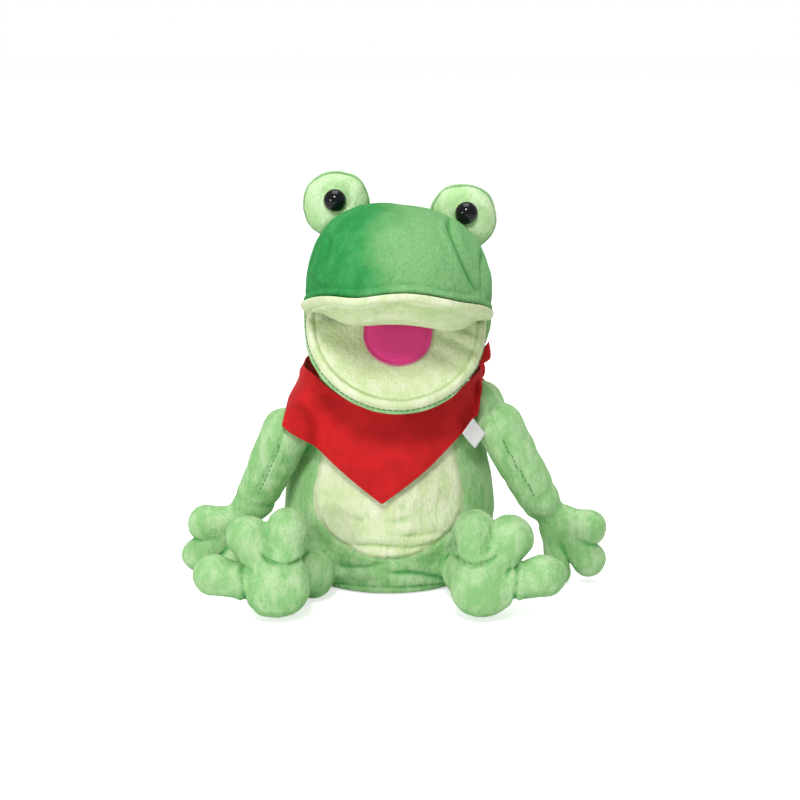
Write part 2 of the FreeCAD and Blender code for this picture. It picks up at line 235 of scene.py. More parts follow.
def painted_shade_amount(mesh, passes=3):
    """For each point, how much painted shade it gets: how far it faces down or sits in a fold."""
    count = len(mesh.vertices)
    normal, place = values_of(mesh.vertices, "normal", 3), values_of(mesh.vertices, "co", 3)
    a, b = values_of(mesh.edges, "vertices", 2, np.int32).T
    span = place[b] - place[a]
    length = np.maximum(norm(span), 1e-6)
    bend = ((normal[b] - normal[a]) * span).sum(1) / length**2  # negative where the surface is hollow
    links = np.zeros(count)
    fold = np.zeros(count)
    for end in (a, b):
        np.add.at(links, end, 1)
        np.add.at(fold, end, -bend)
    fold /= np.maximum(links, 1)
    for _ in range(passes):
        spread = np.zeros(count)
        np.add.at(spread, a, fold[b])
        np.add.at(spread, b, fold[a])
        fold = 0.4 * fold + 0.6 * spread / np.maximum(links, 1)
    # painted shade: surfaces that face down, and the folds, take the deeper green of shadow
    facing_down = smooth((0.25 - normal[:, 2]) / 1.25)
    return (0.5 * facing_down + np.clip(fold / 300, -0.15, 0.4)).astype(np.float32)


def placed(name, data):
    """A new object in the scene."""
    made = bpy.data.objects.new(name, data)
    bpy.context.scene.collection.objects.link(made)
    return made


def piece(name, points, faces, material, body=None):
    """A mesh object that keeps each point's rest place, and its painted shade, for its material."""
    mesh = bpy.data.meshes.new(name)
    mesh.from_pydata([tuple(v) for v in points], [], faces)
    mesh.validate()
    made = bmesh.new()
    made.from_mesh(mesh)
    bmesh.ops.remove_doubles(made, verts=made.verts, dist=1e-6)
    bmesh.ops.recalc_face_normals(made, faces=made.faces)
    made.to_mesh(mesh)
    made.free()
    mesh.polygons.foreach_set("use_smooth", [True] * len(mesh.polygons))
    rest = mesh.attributes.new("rest", "FLOAT_VECTOR", "POINT")
    rest.data.foreach_set("vector", values_of(mesh.vertices, "co", 3).ravel())
    # painted shade for the plush, kept in the 'hollow' attribute
    hollow = mesh.attributes.new("hollow", "FLOAT", "POINT")
    hollow.data.foreach_set("value", painted_shade_amount(mesh))
    mesh.materials.append(material)
    made_object = placed(name, mesh)
    if body:
        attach(made_object, body)
    return made_object


def sheet_grid(rows, columns, closed=False):
    """Quads of a grid of points stored row by row, joined round when closed."""
    faces = []
    for i in range(rows - 1):
        for j in range(columns if closed else columns - 1):
            k = (j + 1) % columns
            faces.append((i * columns + j, i * columns + k, (i + 1) * columns + k, (i + 1) * columns + j))
    return faces


def thicken(points, faces, thickness):
    """A closed skin: the sheet, a copy of it moved behind, and a rim round every open edge."""
    n = len(points)
    normals = np.zeros((n, 3))
    quad = np.array(faces)
    a, b, c, d = (points[quad[:, i]] for i in range(4))
    face_normal = np.cross(c - a, d - b)
    for i in range(4):
        np.add.at(normals, quad[:, i], face_normal)
    normals /= np.maximum(norm(normals), 1e-12)[:, None]
    back = points - thickness * normals
    edges = {}
    for f in faces:
        for i in range(4):
            e = (f[i], f[(i + 1) % 4])
            edges[e] = edges.get(e, 0) + 1
    rim = [e for e in edges if (e[1], e[0]) not in edges]
    shell = list(faces) + [tuple(i + n for i in reversed(f)) for f in faces]
    shell += [(e[1], e[0], e[0] + n, e[1] + n) for e in rim]
    return np.vstack([points, back]), [tuple(dict.fromkeys(f)) for f in shell]


# ---------------------------------------------------------------- materials
def new_material(name):
    material = bpy.data.materials.new(name)
    material.use_nodes = True
    tree = material.node_tree
    shader = tree.nodes["Principled BSDF"]
    return material, tree, shader


def add(tree, kind, inputs=(), **settings):
    """A node with its settings, and each (socket, value or output) of inputs set or linked."""
    node = tree.nodes.new(kind)
    for key, value in settings.items():
        setattr(node, key, value)
    for socket, value in dict(inputs).items():
        if isinstance(value, bpy.types.NodeSocket):
            tree.links.new(value, node.inputs[socket])
        else:
            node.inputs[socket].default_value = value
    return node


def noise_at(tree, place, scale, detail=2.0, roughness=0.5, distortion=0.0):
    values = {"Vector": place, "Scale": scale, "Detail": detail, "Roughness": roughness,
              "Distortion": distortion}
    return add(tree, "ShaderNodeTexNoise", values).outputs["Fac"]


def between(tree, fac, a, b):
    """A colour between a and b."""
    mix = tree.nodes.new("ShaderNodeMix")
    mix.data_type = "RGBA"
    for socket, value in ((0, fac), (6, a), (7, b)):
        if isinstance(value, bpy.types.NodeSocket):
            tree.links.new(value, mix.inputs[socket])
        else:
            mix.inputs[socket].default_value = value
    return mix.outputs[2]


def remap(tree, value, low, high, out_low=0.0, out_high=1.0):
    inputs = {"Value": value, "From Min": low, "From Max": high, "To Min": out_low, "To Max": out_high}
    return add(tree, "ShaderNodeMapRange", inputs, interpolation_type="SMOOTHSTEP").outputs["Result"]


def rgba(colour):
    return (*colour, 1.0)


def rest_place(tree):
    return add(tree, "ShaderNodeAttribute", attribute_name="rest").outputs["Vector"]


def multiply_add(tree, a, b, c):
    """a times b plus c."""
    return add(tree, "ShaderNodeMath", {0: a, 1: b, 2: c}, operation="MULTIPLY_ADD").outputs[0]


def settle(shader, **settings):
    """Sets sockets of the shader, named with _ for a space."""
    for socket, value in settings.items():
        shader.inputs[socket.replace("_", " ")].default_value = value


def dress(tree, shader, tone, **settings):
    """Links a colour to the shader and sets its other sockets."""
    tree.links.new(tone, shader.inputs["Base Color"])
    settle(shader, **settings)


def bump(tree, shader, height, distance, strength):
    node = add(tree, "ShaderNodeBump", {"Height": height, "Distance": distance, "Strength": strength})
    tree.links.new(node.outputs["Normal"], shader.inputs["Normal"])


def plush(name, colour, shade, light, painted_sheen=None):
    """Short-pile plush: fibres that lie along the nap, lighter at their tips, with painted shade in the
    hollows and on the surfaces that face down.
    """
    material, tree, shader = new_material(name)
    place = rest_place(tree)
    along = add(tree, "ShaderNodeMapping", {"Vector": place, "Scale": (1, 1, 0.5)}).outputs["Vector"]
    fibre = noise_at(tree, along, 1100, 2.0, 0.7)
    tuft = noise_at(tree, along, 380, 2.0, 0.6)
    clump = noise_at(tree, along, 95, 3.0, 0.6)
    patch_tone = noise_at(tree, place, 24, 2.0, 0.5)
    # painted shade: the 'hollow' attribute, added to random patches, mixes the colour towards shade
    hollow = add(tree, "ShaderNodeAttribute", attribute_name="hollow").outputs["Fac"]
    patches_and_painted_shade = multiply_add(tree, patch_tone, 0.9, hollow)
    tone = between(tree, remap(tree, clump, 0.35, 0.70), rgba(colour), rgba(light))
    # painted sheen, where one is given
    if painted_sheen:
        tone = painted_sheen(tree, place, tone)
    tone = between(tree, remap(tree, patches_and_painted_shade, 0.55, 1.15), tone, rgba(shade))
    tone = between(tree, remap(tree, tuft, 0.52, 0.75, 0.0, 0.35), tone, rgba(light))
    tone = between(tree, remap(tree, fibre, 0.30, 0.50, 0.38, 0.0), tone, rgba(shade))
    dress(tree, shader, tone, Roughness=0.85, Specular_IOR_Level=0.12, Sheen_Weight=0.35,
          Sheen_Roughness=0.4, Sheen_Tint=rgba(light))
    heights = multiply_add(tree, fibre, 0.35, multiply_add(tree, tuft, 0.7, clump))
    bump(tree, shader, heights, 1.5 * MM, 0.8)
    return material


def crown_painted_sheen(tree, place, tone):
    """Painted sheen on the crown's brushed nap: dark on the puppet's right, lighter from its middle to its
    left, and a little lighter lower down.
    """
    split = add(tree, "ShaderNodeSeparateXYZ", {0: place})
    across = multiply_add(tree, split.outputs["X"], 14.0, noise_at(tree, place, 30, 4.0, 0.6))
    down = multiply_add(tree, split.outputs["Z"], -5.0, across)
    return between(tree, remap(tree, down, -1.18, -0.62, 0.0, 0.85), tone, rgba(CROWN_NAP_SHEEN))


def cotton(name, colour, shade):
    """Plain-woven cotton with a fine thread pattern."""
    material, tree, shader = new_material(name)
    place = rest_place(tree)
    threads = []
    for degrees in (45, -45):
        mapped = add(tree, "ShaderNodeMapping", {"Vector": place, "Rotation": (0, math.radians(degrees), 0)})
        wave = add(tree, "ShaderNodeTexWave", {"Vector": mapped.outputs["Vector"], "Scale": 620.0,
                                               "Distortion": 0.6, "Detail": 1.0}, bands_direction="X")
        threads.append(wave.outputs["Fac"])
    weave = add(tree, "ShaderNodeMath", {0: threads[0], 1: threads[1]}, operation="MULTIPLY").outputs[0]
    soft = noise_at(tree, place, 60, 3.0, 0.6)
    tone = between(tree, remap(tree, soft, 0.35, 0.70), rgba(shade), rgba(colour))
    tone = between(tree, remap(tree, weave, 0.0, 0.35, 0.30, 0.0), tone, rgba(shade))
    dress(tree, shader, tone, Roughness=0.8, Specular_IOR_Level=0.2, Sheen_Weight=0.03, Sheen_Roughness=0.5)
    bump(tree, shader, weave, 0.25 * MM, 0.5)
    return material


def felt(name, colour, shade):
    material, tree, shader = new_material(name)
    place = rest_place(tree)
    hair = noise_at(tree, place, 900, 4.0, 0.75, 1.5)
    tone = between(tree, remap(tree, hair, 0.3, 0.65), rgba(shade), rgba(colour))
    dress(tree, shader, tone, Roughness=0.95, Specular_IOR_Level=0.1, Sheen_Weight=0.3)
    bump(tree, shader, hair, 0.5 * MM, 0.6)
    return material


def plastic(name, colour, roughness, coat, shine):
    """Moulded plastic with a faint unevenness."""
    material, tree, shader = new_material(name)
    place = rest_place(tree)
    cloud = noise_at(tree, place, 300, 2.0)
    darker = tuple(c * 0.8 for c in colour)
    dress(tree, shader, between(tree, cloud, rgba(darker), rgba(colour)), Roughness=roughness,
          Specular_IOR_Level=shine, Coat_Weight=coat, Coat_Roughness=0.02)
    bump(tree, shader, cloud, 0.02 * MM, 0.3)
    return material


def thread(name, colour):
    """Twisted sewing thread."""
    material, tree, shader = new_material(name)
    place = rest_place(tree)
    twist = noise_at(tree, place, 2500, 1.0)
    darker = tuple(c * 0.5 for c in colour)
    dress(tree, shader, between(tree, twist, rgba(darker), rgba(colour)), Roughness=0.7)
    return material


BODY_GREEN, BODY_SHADE, BODY_LIGHT = (0.26, 0.52, 0.20), (0.09, 0.38, 0.11), (0.46, 0.66, 0.36)
# the third crown colour is painted sheen on the crown's brushed nap
CROWN_GREEN, CROWN_SHADE, CROWN_NAP_SHEEN = (0.024, 0.245, 0.058), (0.010, 0.19, 0.035), (0.23, 0.46, 0.19)
BELLY_GREEN, BELLY_SHADE, BELLY_LIGHT = (0.64, 0.74, 0.42), (0.44, 0.61, 0.26), (0.79, 0.84, 0.61)
BUMP_GREEN, BUMP_SHADE, BUMP_LIGHT = (0.43, 0.67, 0.31), (0.24, 0.54, 0.18), (0.60, 0.78, 0.48)

BODY_PLUSH = plush("body_plush", BODY_GREEN, BODY_SHADE, BODY_LIGHT)
CROWN_PLUSH = plush("crown_plush", CROWN_GREEN, CROWN_SHADE, (0.05, 0.31, 0.085), crown_painted_sheen)
BELLY_PLUSH = plush("belly_plush", BELLY_GREEN, BELLY_SHADE, BELLY_LIGHT)
BUMP_PLUSH = plush("eye_bump_plush", BUMP_GREEN, BUMP_SHADE, BUMP_LIGHT)
LINING_CLOTH = cotton("lining_cloth", (0.22, 0.42, 0.20), (0.14, 0.32, 0.13))
BANDANA_CLOTH = cotton("bandana_cotton", (0.64, 0.012, 0.015), (0.50, 0.008, 0.010))
TONGUE_FELT = felt("tongue_felt", (0.90, 0.07, 0.31), (0.70, 0.04, 0.21))
LABEL_TAPE = cotton("label_tape", (0.86, 0.84, 0.84), (0.74, 0.72, 0.73))
EYE_GLOSS = plastic("eye_gloss", (0.003, 0.004, 0.005), 0.06, 0.5, 0.1)
DARK_THREAD = thread("dark_green_thread", (0.07, 0.27, 0.10))
RED_THREAD = thread("red_thread", (0.45, 0.01, 0.015))
PINK_THREAD = thread("pink_thread", (0.92, 0.16, 0.42))


# ---------------------------------------------------------------- flat pieces and stitches
def outline_of(inside, middle, reach, around=220):
    """The points where rays from middle leave a flat shape. inside(points) is true within it."""
    angle = np.linspace(0, 2 * math.pi, around, endpoint=False)
    steps = np.linspace(0, reach, 900)
    rays = np.stack([np.cos(angle), np.sin(angle)], 1)
    q = middle + steps[None, :, None] * rays[:, None]
    left = ~inside(q.reshape(-1, 2)).reshape(q.shape[:2])
    return q[np.arange(around), left.argmax(1)]


def gap_to(outline, q):
    return np.linalg.norm(q[:, None] - outline[None], axis=2).min(1)


def patch(outline, middle, rings, crowding=1.6):
    """Points of an outline and of copies that shrink to its middle, crowded at the edge, and their quads."""
    around = len(outline)
    share = (np.arange(rings) / rings) ** crowding
    q = (outline[None] + (middle - outline)[None] * share[:, None, None]).reshape(-1, 2)
    last, centre = (rings - 1) * around, rings * around
    fan = [(last + j, last + (j + 1) % around, centre, centre) for j in range(around)]
    return np.vstack([q, middle]), sheet_grid(rings, around, closed=True) + fan


def resampled(line, spacing):
    """Points at an even spacing along a line."""
    reach = np.concatenate([[0], np.cumsum(norm(np.diff(line, axis=0)))])
    at = np.arange(0, reach[-1], spacing)
    return np.stack([np.interp(at, reach, line[:, i]) for i in range(3)], 1)


def tube(a, b, radius, sides=6):
    """Points and faces of a short round bar with pointed ends."""
    d = (b - a) / np.linalg.norm(b - a)
    u = np.cross(d, X if abs(d[0]) < 0.8 else Y)
    u /= np.linalg.norm(u)
    v = np.cross(d, u)
    angle = np.arange(sides) * 2 * math.pi / sides
    ring = np.outer(np.cos(angle), u) + np.outer(np.sin(angle), v)
    points = [a - d * radius, b + d * radius]
    points += list(a + radius * ring) + list(b + radius * ring)
    faces = []
    for i in range(sides):
        j = (i + 1) % sides
        faces += [(0, 2 + j, 2 + i), (1, 2 + sides + i, 2 + sides + j)]
        faces.append((2 + i, 2 + j, 2 + sides + j, 2 + sides + i))
    return np.array(points), faces


def stitches(name, line, onto, material=None, length=2.6 * MM, gap=1.5 * MM, radius=0.32 * MM, lift=0.1 * MM):
    """Sewn dashes along a line, laid on the surface of another piece."""
    tree = BVHTree.FromPolygons([v.co for v in onto.data.vertices], [p.vertices for p in onto.data.polygons])
    beads = resampled(np.asarray(line), length + gap)
    points, faces, count = [], [], 0
    for a, b in zip(beads[:-1], beads[1:]):
        stop = a + (b - a) * length / (length + gap)
        ends = []
        for end in (a, stop):
            place, normal, _, _ = tree.find_nearest(Vector(end))
            ends.append(np.array(place + normal * lift))
        p, f = tube(*ends, radius)
        points.append(p)
        faces += [tuple(i + count for i in face) for face in f]
        count += len(p)
    return piece(name, np.vstack(points), faces, material or DARK_THREAD)


def lathe(profile, centre, axes, around=96):
    """Points and quads of a closed profile of (radius, height) pairs, turned round the third axis."""
    angle = np.linspace(0, 2 * math.pi, around, endpoint=False)
    points = []
    for r, h in profile:
        ring = np.stack([r * np.cos(angle), r * np.sin(angle), np.full(around, h)], 1)
        points.append(ring @ axes + centre)
    n = len(profile)
    faces = sheet_grid(n, around, closed=True)
    faces += [((n - 1) * around + j, (n - 1) * around + (j + 1) % around, (j + 1) % around, j)
              for j in range(around)]
    return np.vstack(points), faces


# ---------------------------------------------------------------- torso
RINGS = mm(  # height, half width, half depth, centre y, all in mm
    (-6, 58, 52, 0), (4, 64, 58, 0), (16, 71, 62, 0), (34, 77.5, 66.5, 0), (52, 80, 68, 0),
    (75, 77.5, 66, 0.5), (95, 73, 63, 1), (112, 68, 60, 2), (126, 62, 57, 3), (140, 57, 54.5, 4.5),
    (150, 53.2, 53.2, 6), (160, 52, 52, 6),
)


def torso_ring(z):
    return [np.interp(z, RINGS[:, 0], RINGS[:, i]) for i in (1, 2, 3)]


def torso_round(p, inset=0.0):
    """The sack of the body without its ends."""
    a, b, cy = torso_ring(p[:, 2])
    a, b = a - inset, b - inset
    return (np.hypot(p[:, 0] / a, (p[:, 1] - cy) / b) - 1) * np.minimum(a, b)


TORSO_TOP = corners("back_panel")[1][2]
BELLY_LOW, BELLY_HIGH = corners("belly_panel")
BELLY_HALF = BELLY_HIGH[0]
BELLY_MIDDLE = 75 * MM
PLUSH_THICK = 4.2 * MM
BELLY_TAPER = 17 * MM  # the patch is this much narrower at its top, each side


def belly_edge(p):
    """Distance to the belly patch's outline in front view, negative inside it."""
    x, z = np.abs(p[:, 0]), p[:, 2]
    drop = BELLY_MIDDLE - BELLY_LOW[2]
    below = (np.hypot(x / BELLY_HALF, (z - BELLY_MIDDLE) / drop) - 1) * drop
    wall = x - BELLY_HALF + BELLY_TAPER * (z - BELLY_MIDDLE) / (TORSO_TOP - BELLY_MIDDLE)
    return np.where(z < BELLY_MIDDLE, below, wall)


BODY_FOLDS = [  # height at the middle, slope, bend, width, depth, centre x, half length: mm but the slope
    (41, 0.05, 3.2, 3.2, 1.4, 8, 42), (50, -0.07, 2.2, 3.6, 1.2, 24, 30), (61, 0.03, 2.0, 4.6, 0.9, -6, 44),
    (72, 0.10, 1.5, 5.0, 0.7, 22, 32), (24, 0.14, 3.0, 3.6, 1.3, -20, 36),
    (15, -0.18, 2.0, 3.6, 1.3, 26, 34),
]


def torso_folds(p):
    """The soft folds of the slack body, worked out in front view."""
    x, z = p[:, 0], p[:, 2]
    front = fade(p[:, 1], 10, 20)
    total = np.zeros(len(p))
    for height, slope, bend, width, depth, cx, half in BODY_FOLDS:
        u = x / MM - cx
        d = z / MM - height - slope * u - bend * (u / 40) ** 2 - 1.2 * np.sin(u / 9 + height)
        reach = np.exp(-((u / half) ** 4))
        total += crease(d, width, depth) * reach * MM
    return total * front + lumps(p, (0.9, 24, 3), (0.35, 8, 4))


def seam(d, width=1.6 * MM, depth=1.6 * MM):
    """A sewn line pulls the plush in."""
    return -depth * ridge(d, width)


def torso_relief(p):
    x, y, z = p.T
    rise = torso_folds(p)
    front = y < 0
    edge = belly_edge(p)
    rise += np.where(front, -2.6 * MM * fade(edge, 0.6, 1.6), 0)
    below_patch = smooth((BELLY_LOW[2] + 2 * MM - z) / (3 * MM))
    rise += np.where(front, seam(x, 1.3 * MM, 1.3 * MM) * below_patch, seam(x))
    rise += seam(y - 1 * MM, 1.6 * MM, 1.4 * MM)
    rise += seam(z - 6 * MM, 1.4 * MM, 0.8 * MM)
    return rise


SHOULDER_ROOTS = {  # from the neck's side to the arm's top, and the radius, in mm
    "left": [((50, 0, 128), (69, -2, 133), 15), ((69, -2, 133), (74, -20, 125), 14.5)],
    "right": [((-44, -10, 122), (-70, -30, 120), 15)],
}


def shoulder_root(p, side):
    """The fields of the round bars under one shoulder."""
    return [limb(p, mm(*a), mm(*b), r * MM, r * MM) for a, b, r in SHOULDER_ROOTS[side]]


def torso():
    hip = {s: pivot(f"{s}_hip_spread") for s in SIDES}

    def roots(p):
        parts = [bar for side in SIDES for bar in shoulder_root(p, side)]
        parts += [ball(p, hip[s] * (0.86, 0.72, 1.0), 13 * MM) for s in SIDES]
        return parts

    def wall(p):
        f = torso_round(p)
        for root in roots(p):
            f = blunt_min(f, root, 10 * MM)
        f = np.maximum(f, -torso_round(p, PLUSH_THICK))
        f = blunt_max(f, 1.0 * MM - p[:, 2], 2.0 * MM)
        outside = torso_round(p)  # the sack is cut off at its top, and the shoulders beyond it aren't
        above = np.maximum(np.minimum(p[:, 2] - TORSO_TOP, 12 * MM), outside - 3 * MM)
        return blunt_max(f, np.where(outside < 3 * MM, above, -1), 2.0 * MM)

    def relief(p):
        outside = ramp(torso_round(p), -2.6, 1.6)
        return torso_relief(p) * outside * ramp(p[:, 2], 0.5, 3)

    points, faces = grow(wall, (-0.1, -0.09, -0.006), (0.1, 0.085, 0.166), 1.6 * MM, relief)
    points[:, 2] = points[:, 2].clip(0.2 * MM, None)
    made = piece("body_sleeve", points, faces, BODY_PLUSH, "body")
    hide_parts("back_panel", "left_flank_panel", "right_flank_panel", "hem_facing")


def belly():
    """The pale patch, which lies on the body's folds."""
    middle = np.array([0, BELLY_MIDDLE + 8 * MM])

    def upright(q):
        return np.stack([q[:, 0], np.full(len(q), -0.05), q[:, 1]], 1)

    def inside(q):
        return (belly_edge(upright(q)) < 0) & (q[:, 1] < TORSO_TOP - 4 * MM)

    q, faces = patch(outline_of(inside, middle, 90 * MM, 280), middle, 60, 1.0)
    a, b, cy = torso_ring(q[:, 1])
    y = cy - b * np.sqrt(np.clip(1 - (q[:, 0] / a) ** 2, 0.02, 1))
    p = np.stack([q[:, 0], y, q[:, 1]], 1)
    edge = -belly_edge(p)
    g = slopes(torso_round, p)
    n = g / norm(g)[:, None]
    puff = -1.6 * MM + 2.9 * MM * ramp(edge, 0, 5)
    wobble = 0.5 * MM * lattice_noise(p, 5 * MM, 8)
    pull = seam(p[:, 0], 1.6 * MM, 1.2 * MM) * fade(p[:, 2], 46, 8)
    p = p + (torso_folds(p) + puff + wobble + pull)[:, None] * n
    made = piece("belly_patch", *thicken(p, faces, 2.0 * MM), BELLY_PLUSH, "body")
    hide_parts("belly_panel")


def sleeve_lining():
    """Thin cloth inside the sleeve, a little slack."""
    heights = np.linspace(18 * MM, TORSO_TOP - 2 * MM, 50)
    angle = np.linspace(0, 2 * math.pi, 160, endpoint=False)
    points = []
    for z in heights:
        a, b, cy = torso_ring(z)
        slack = 5.4 * MM + 0.7 * MM * np.sin(9 * angle + 400 * z) + 0.5 * MM * np.sin(23 * angle - 60 * z)
        points.append(np.stack([(a - slack) * np.cos(angle), cy + (b - slack) * np.sin(angle),
                                np.full(len(angle), z)], 1))
    shell = thicken(np.vstack(points), sheet_grid(len(heights), len(angle), closed=True), 0.6 * MM)
    made = piece("sleeve_lining_cloth", *shell, LINING_CLOTH, "body")
    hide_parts("sleeve_lining")


def neck():
    """The ball-shaped top of the sleeve and its lining, which the head rolls on."""
    for name, node, body, radius, thick, low, high, material, slot in (
        ("neck_plush", "neck_sleeve", "neck", 50, 2.4, -19, 32, BODY_PLUSH, "body_green"),
        ("neck_lining_cloth", "neck_lining", "neck_core", 47, 0.9, -15, 28, LINING_CLOTH, "lining"),
    ):
        outer = [(math.sqrt(radius**2 - h * h), h) for h in np.linspace(low, high, 26)]
        inner = [(math.sqrt((radius - thick) ** 2 - h * h), h) for h in np.linspace(high, low, 26)]
        points, faces = lathe(np.array(outer + inner) * MM, NECK, np.eye(3), 140)
        made = piece(name, points, faces, material, body)
        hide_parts(node)


# ---------------------------------------------------------------- head
LIP = -9.5 * MM  # the crown's edge hangs this far below the palate plane
CROWN_MIDDLE = mm(1.5, 17, -6)
CROWN_SEMI = mm(66.5, 101.5, 71)
CROWN_POWER = 2.55
CROWN_LEAN = 0.06  # the crown leans this much less than the mouth does
POCKET_SEMI = mm(56, 88, 38)
DARTS = [  # folds of the forehead in front view, across and above the mouth's hinge, in mm
    ((-54.6, 50.3), (-62.4, 20.0)), ((-50.5, 42.5), (-53.9, 19.0)), ((30.7, 60.5), (53.8, 20.0)),
    ((55.9, 47.5), (57.8, 17.0)),
]


def to_segment(q, a, b):
    """Distance in a plane from points to the line from a to b."""
    a, b = np.array(a) * MM, np.array(b) * MM
    t = np.clip((q - a) @ (b - a) / ((b - a) @ (b - a)), 0, 1)
    return norm(q - a - t[:, None] * (b - a))


def lip_height(x):
    """The crown's edge rises to the puppet's left, peaks a little in the middle and sags beside the peak."""
    u = x / MM
    return LIP + (0.045 * u + 1.0 * ridge(u - 8, 14) - 3.2 * ridge(u + 28, 16) - 1.4 * ridge(u - 42, 14)) * MM


def in_crown(p):
    """The palate's axes, with the top of the crown drawn back over the middle."""
    q = into(PALATE, p)
    q[:, 0] += CROWN_LEAN * q[:, 2]
    return q


def crown():
    def solid(p):
        q = in_crown(p)
        f = oval(q, CROWN_MIDDLE, CROWN_SEMI, CROWN_POWER)
        f = blunt_max(f, lip_height(q[:, 0]) - q[:, 2], 2 * MM)
        return np.maximum(f, -oval(q, CROWN_MIDDLE - mm(0, -3, 12), POCKET_SEMI))

    def relief(p):
        q, h = in_crown(p), into(HEAD, p)
        front = fade(q[:, 1], 12, 16)
        above = q[:, 2] - lip_height(q[:, 0])
        rolled = 1.0 * MM * ridge(above - 2.6 * MM, 2.4 * MM)
        rise = (rolled - 0.9 * MM * ridge(above - 6.5 * MM, 1.2 * MM)) * front
        forward = fade(h[:, 1], -8, 14)
        flat = h[:, [0, 2]]
        for a, b in DARTS:
            rise += crease(to_segment(flat, a, b) / MM, 2.2, 2.2) * MM * forward
        rise += seam(q[:, 0]) * ramp(q[:, 1], 30, 10)
        rise += lumps(p, (1.5, 34, 11), (0.45, 10, 12))
        outside = oval(q, CROWN_MIDDLE, CROWN_SEMI, CROWN_POWER)
        return rise * ramp(outside, -3, 2)

    low, high = HINGE + (-0.09, -0.1, -0.05), HINGE + (0.095, 0.125, 0.085)
    made = piece("crown_plush", *grow(solid, low, high, 1.6 * MM, relief), CROWN_PLUSH, "head")
    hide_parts("crown_panel", "left_temple_panel", "right_temple_panel", "crown_padding",
                "finger_pocket", "palate_board")


JAW_STRAIGHT = -15 * MM  # the jaw's sides run straight to here, and its front is half an ellipse
JAW_SEMI = mm(65.5, 70.5, 26)
JAW_SHIFT = 2 * MM  # the jaw sits this far to the puppet's left of the hinge's middle
MOUTH_EDGE = -14.5 * MM  # the green jaw ends this far below the hinge line


def jaw_plan(j):
    """Moves the jaw's straight sides back onto the middle of its ellipse."""
    return np.stack([j[:, 0], np.minimum(j[:, 1] - JAW_STRAIGHT, 0), j[:, 2]], 1)


def with_jaw(made):
    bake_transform(made)


def lower_head():
    """Cheeks, nape, throat and the underside of the jaw: one skin."""
    def inner(p):
        q = into(PALATE, p)
        hollow = oval(q, CROWN_MIDDLE, mm(62, 94, 42))
        hollow = np.maximum(hollow, -44 * MM - p[:, 1])
        thumb = oval(into(JAW, p), mm(0, 0, -19), mm(31, 71, 13))
        return np.minimum(hollow, thumb)

    def solid(p):
        q, j, h = into(PALATE, p), into(JAW, p), into(HEAD, p, NECK)
        jaw = oval(jaw_plan(j), np.array([JAW_SHIFT, 0, MOUTH_EDGE]), JAW_SEMI)
        nape = oval(q, CROWN_MIDDLE, CROWN_SEMI * (0.97, 1, 0.56), CROWN_POWER)
        collar = blunt_max(ball(p, NECK, 60.5 * MM), 0.42 * np.abs(h[:, 1]) - 0.5 * MM - h[:, 2], 3 * MM)
        throat = oval(h, mm(-1, -4, 26), mm(62, 44, 30), 2.5)
        f = blunt_min(blunt_min(jaw, nape, 6 * MM), blunt_min(collar, throat, 6 * MM), 7 * MM)
        f = blunt_max(f, q[:, 2] - lip_height(q[:, 0]), 2 * MM)
        f = blunt_max(f, j[:, 2] - MOUTH_EDGE, 3 * MM)
        f = np.maximum(f, 51.2 * MM - norm(p - NECK))
        return np.maximum(f, -inner(p))

    def relief(p):
        q = into(PALATE, p)
        rise = lumps(p, (1.3, 26, 21), (0.4, 9, 22))
        rise += seam(q[:, 0]) * ramp(q[:, 1], 30, 10)
        clear = ramp(norm(p - NECK), 52, 2)
        return rise * clear * ramp(inner(p), 0, 2)

    low, high = HINGE + (-0.09, -0.08, -0.085), HINGE + (0.09, 0.125, 0.01)
    points, faces = grow(solid, low, high, 1.6 * MM, relief)
    made = piece("cheeks_and_nape", points, faces, BODY_PLUSH)
    with_jaw(made)
    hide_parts("nape_panel", "jaw_panel", "jaw_board", "jaw_padding", "thumb_pocket")
    return made


def roll(d, radius):
    """The quarter round of a rolled edge: 0 at the edge, radius from radius inwards."""
    t = np.clip(d / radius, 0, 1)
    return radius * np.sqrt(1 - (1 - t) ** 2)


def palate():
    """The pale roof of the mouth: a rolled lip, a sewn line behind it, and a pillow that sags."""
    semi = CROWN_SEMI[:2] + mm(0.5, 1.0)
    middle = mm(0, -34)

    def inside(q):
        k = (np.abs((q - CROWN_MIDDLE[:2]) / semi)) ** CROWN_POWER
        return (k.sum(1) < 1) & (q[:, 1] < -3 * MM)

    edge = outline_of(inside, middle, 90 * MM, 260)
    q, faces = patch(edge, middle, 60)
    d = gap_to(edge, q)
    rear = fade(q[:, 1], -3, 16)
    sag = (9 * MM + 0.05 * q[:, 0]) * ramp(d, 4, 26) * rear
    z = lip_height(q[:, 0]) - roll(d, 3.4 * MM) - sag + 1.3 * MM * ridge(d - 5.5 * MM, 1.3 * MM)
    flat = np.column_stack([q, z])
    z += lumps(flat, (0.8, 15, 31), (0.3, 6, 32)) * ramp(d, 0, 10)
    p = out_of(PALATE, np.column_stack([q, z]))
    made = piece("palate_pillow", *thicken(p, faces, 2.0 * MM), BELLY_PLUSH, "head")
    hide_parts("palate_lining")
    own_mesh(made)


MOUTH_FOLDS = [  # ends on the jaw's plane, width and depth, in mm
    ((-56, -20), (-36, -12), 4.5, 1.1), ((62, -20), (38, -12), 4.0, 1.3),
    ((60, -34), (34, -22), 5.0, 1.2), ((54, -48), (32, -36), 5.5, 0.9),
]
JAW_OUTLINE = mm(64.5, 69.0)
JAW_CENTRE = mm(0, -36)


def jaw_edge():
    def inside(q):
        ahead = np.minimum(q[:, 1] - JAW_STRAIGHT, 0)
        return (np.hypot((q[:, 0] - JAW_SHIFT) / JAW_OUTLINE[0], ahead / JAW_OUTLINE[1]) < 1) & (q[:, 1] < 0)

    return outline_of(inside, JAW_CENTRE, 100 * MM, 260)


